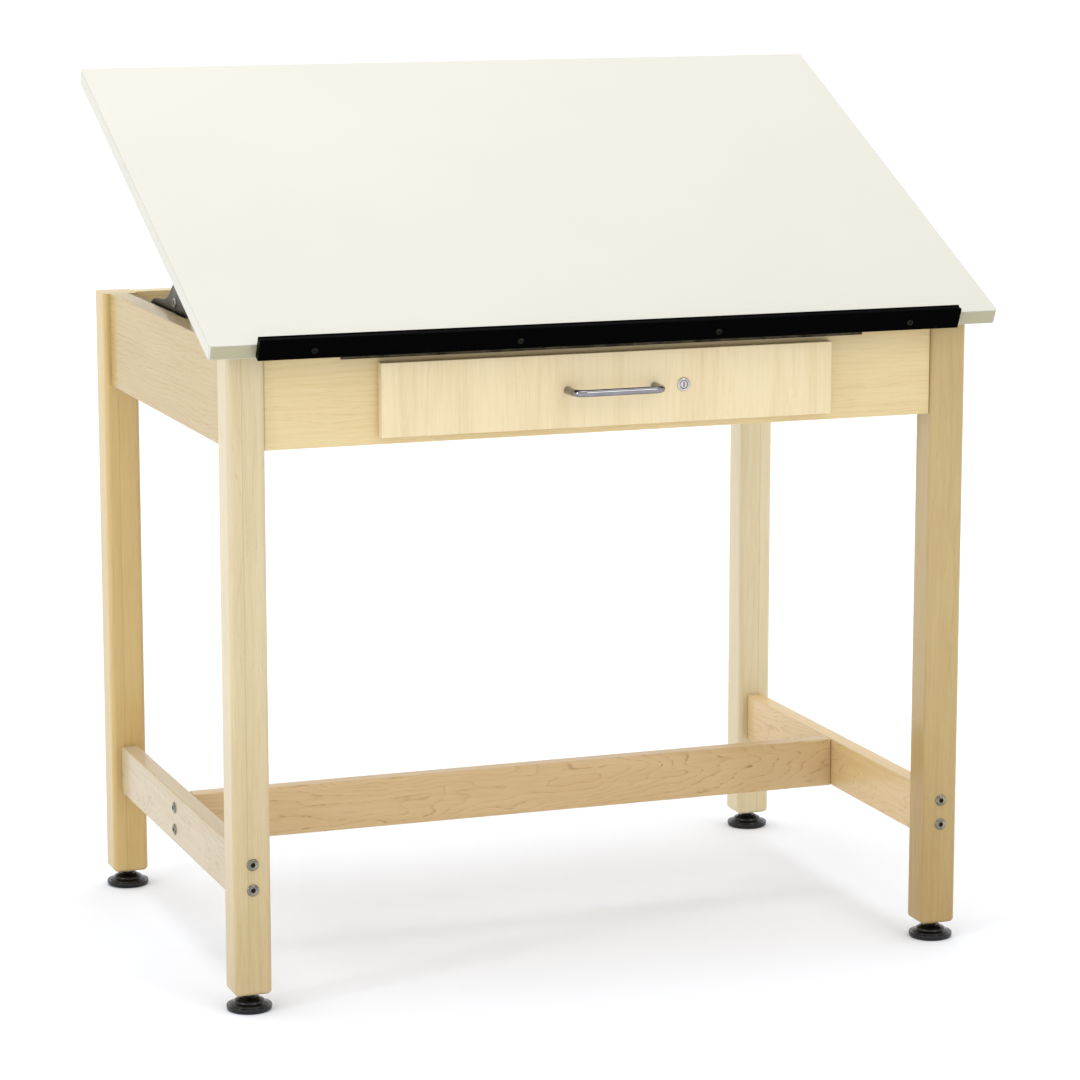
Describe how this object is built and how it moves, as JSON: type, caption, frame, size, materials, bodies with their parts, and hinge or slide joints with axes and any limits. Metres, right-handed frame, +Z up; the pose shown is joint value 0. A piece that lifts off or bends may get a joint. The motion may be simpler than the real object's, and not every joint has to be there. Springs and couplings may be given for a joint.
{
  "type": "drafting table",
  "caption": "Drafting table with a maple leg base, a hinged tilting top with a pencil trough, ratchet struts, a lockable drawer and levelling feet.",
  "frame": {"origin": "on the floor under the middle of the bounding box at rest", "axes": "+X to the user's right, +Y from the user to the back, +Z up; the user stands on the -Y side"},
  "size_m": [0.9144, 0.628, 0.9935],
  "materials": {
    "maple": "clear satin lacquer on light maple",
    "maple_front": "clear satin lacquer, grain upright",
    "birch_plywood": "sanded and sealed",
    "almond_laminate": "matte high-pressure laminate",
    "black_pvc": "satin extrusion",
    "blackened_steel": "dark oxide, lightly oiled",
    "nickel": "satin nickel plating",
    "zinc_steel": "zinc plated",
    "black_rubber": "moulded, slightly shiny"
  },
  "bodies": {
    "frame": {"leg_front_left": "maple", "leg_front_right": "maple", "leg_rear_left": "maple", "leg_rear_right": "maple", "apron_front": "maple", "apron_rear": "maple", "apron_left": "maple", "apron_right": "maple", "stretcher_left": "maple", "stretcher_right": "maple", "stretcher_centre": "maple", "corner_brace_front_left": "maple", "corner_brace_front_right": "maple", "corner_brace_rear_left": "maple", "corner_brace_rear_right": "maple", "leg_bolt_front_left_lower": "zinc_steel", "leg_bolt_front_left_upper": "zinc_steel", "leg_bolt_front_right_lower": "zinc_steel", "leg_bolt_front_right_upper": "zinc_steel", "leg_bolt_rear_left_lower": "zinc_steel", "leg_bolt_rear_left_upper": "zinc_steel", "leg_bolt_rear_right_lower": "zinc_steel", "leg_bolt_rear_right_upper": "zinc_steel", "stretcher_bolt_left_lower": "zinc_steel", "stretcher_bolt_left_upper": "zinc_steel", "stretcher_bolt_right_lower": "zinc_steel", "stretcher_bolt_right_upper": "zinc_steel", "hinge_leaf_frame": "blackened_steel", "hinge_pin": "blackened_steel", "track_plate_left": "blackened_steel", "track_plate_right": "blackened_steel", "drawer_runner_left": "maple", "drawer_runner_right": "maple"},
    "top": {"top_board": "almond_laminate", "pencil_trough": "black_pvc", "trough_screw_1": "blackened_steel", "trough_screw_2": "blackened_steel", "trough_screw_3": "blackened_steel", "trough_screw_4": "blackened_steel", "hinge_leaf_top": "blackened_steel", "top_bracket_left": "blackened_steel", "top_bracket_right": "blackened_steel"},
    "strut_left": {"strut_left": "blackened_steel"},
    "strut_right": {"strut_right": "blackened_steel"},
    "drawer": {"drawer_front": "maple_front", "drawer_side_left": "birch_plywood", "drawer_side_right": "birch_plywood", "drawer_back": "birch_plywood", "drawer_floor": "birch_plywood", "drawer_pull": "nickel", "lock_body": "nickel"},
    "lock_plug": {"lock_plug": "nickel"},
    "leveller_front_left": {"glide_pad_front_left": "black_rubber", "glide_stem_front_left": "zinc_steel"},
    "leveller_front_right": {"glide_pad_front_right": "black_rubber", "glide_stem_front_right": "zinc_steel"},
    "leveller_rear_left": {"glide_pad_rear_left": "black_rubber", "glide_stem_rear_left": "zinc_steel"},
    "leveller_rear_right": {"glide_pad_rear_right": "black_rubber", "glide_stem_rear_right": "zinc_steel"}
  },
  "joints": [
    {"name": "top_tilt", "type": "hinge", "parent": "frame", "child": "top", "pos_m": [0, -0.2712, 0.727], "axis": [1, 0, 0], "range_deg": [-25, 20]},
    {"name": "strut_left_turn", "type": "hinge", "parent": "top", "child": "strut_left", "pos_m": [-0.3933, -0.02596, 0.82812], "axis": [1, 0, 0], "range_deg": [-40, 50]},
    {"name": "strut_right_turn", "type": "hinge", "parent": "top", "child": "strut_right", "pos_m": [0.3933, -0.02596, 0.82812], "axis": [1, 0, 0], "range_deg": [-40, 50]},
    {"name": "drawer_slide", "type": "slide", "parent": "frame", "child": "drawer", "axis": [0, -1, 0], "range_m": [0, 0.3]},
    {"name": "lock_turn", "type": "hinge", "parent": "drawer", "child": "lock_plug", "pos_m": [0.085, -0.262, 0.6675], "axis": [0, -1, 0], "range_deg": [0, 90]},
    {"name": "leveller_front_left_screw", "type": "slide", "parent": "frame", "child": "leveller_front_left", "axis": [0, 0, -1], "range_m": [-0.004, 0.012]},
    {"name": "leveller_front_right_screw", "type": "slide", "parent": "frame", "child": "leveller_front_right", "axis": [0, 0, -1], "range_m": [-0.004, 0.012]},
    {"name": "leveller_rear_left_screw", "type": "slide", "parent": "frame", "child": "leveller_rear_left", "axis": [0, 0, -1], "range_m": [-0.004, 0.012]},
    {"name": "leveller_rear_right_screw", "type": "slide", "parent": "frame", "child": "leveller_rear_right", "axis": [0, 0, -1], "range_m": [-0.004, 0.012]}
  ],
  "couplings": [
    {"joint": "strut_left_turn", "follows": "top_tilt", "ratio": -2},
    {"joint": "strut_right_turn", "follows": "top_tilt", "ratio": -2}
  ]
}
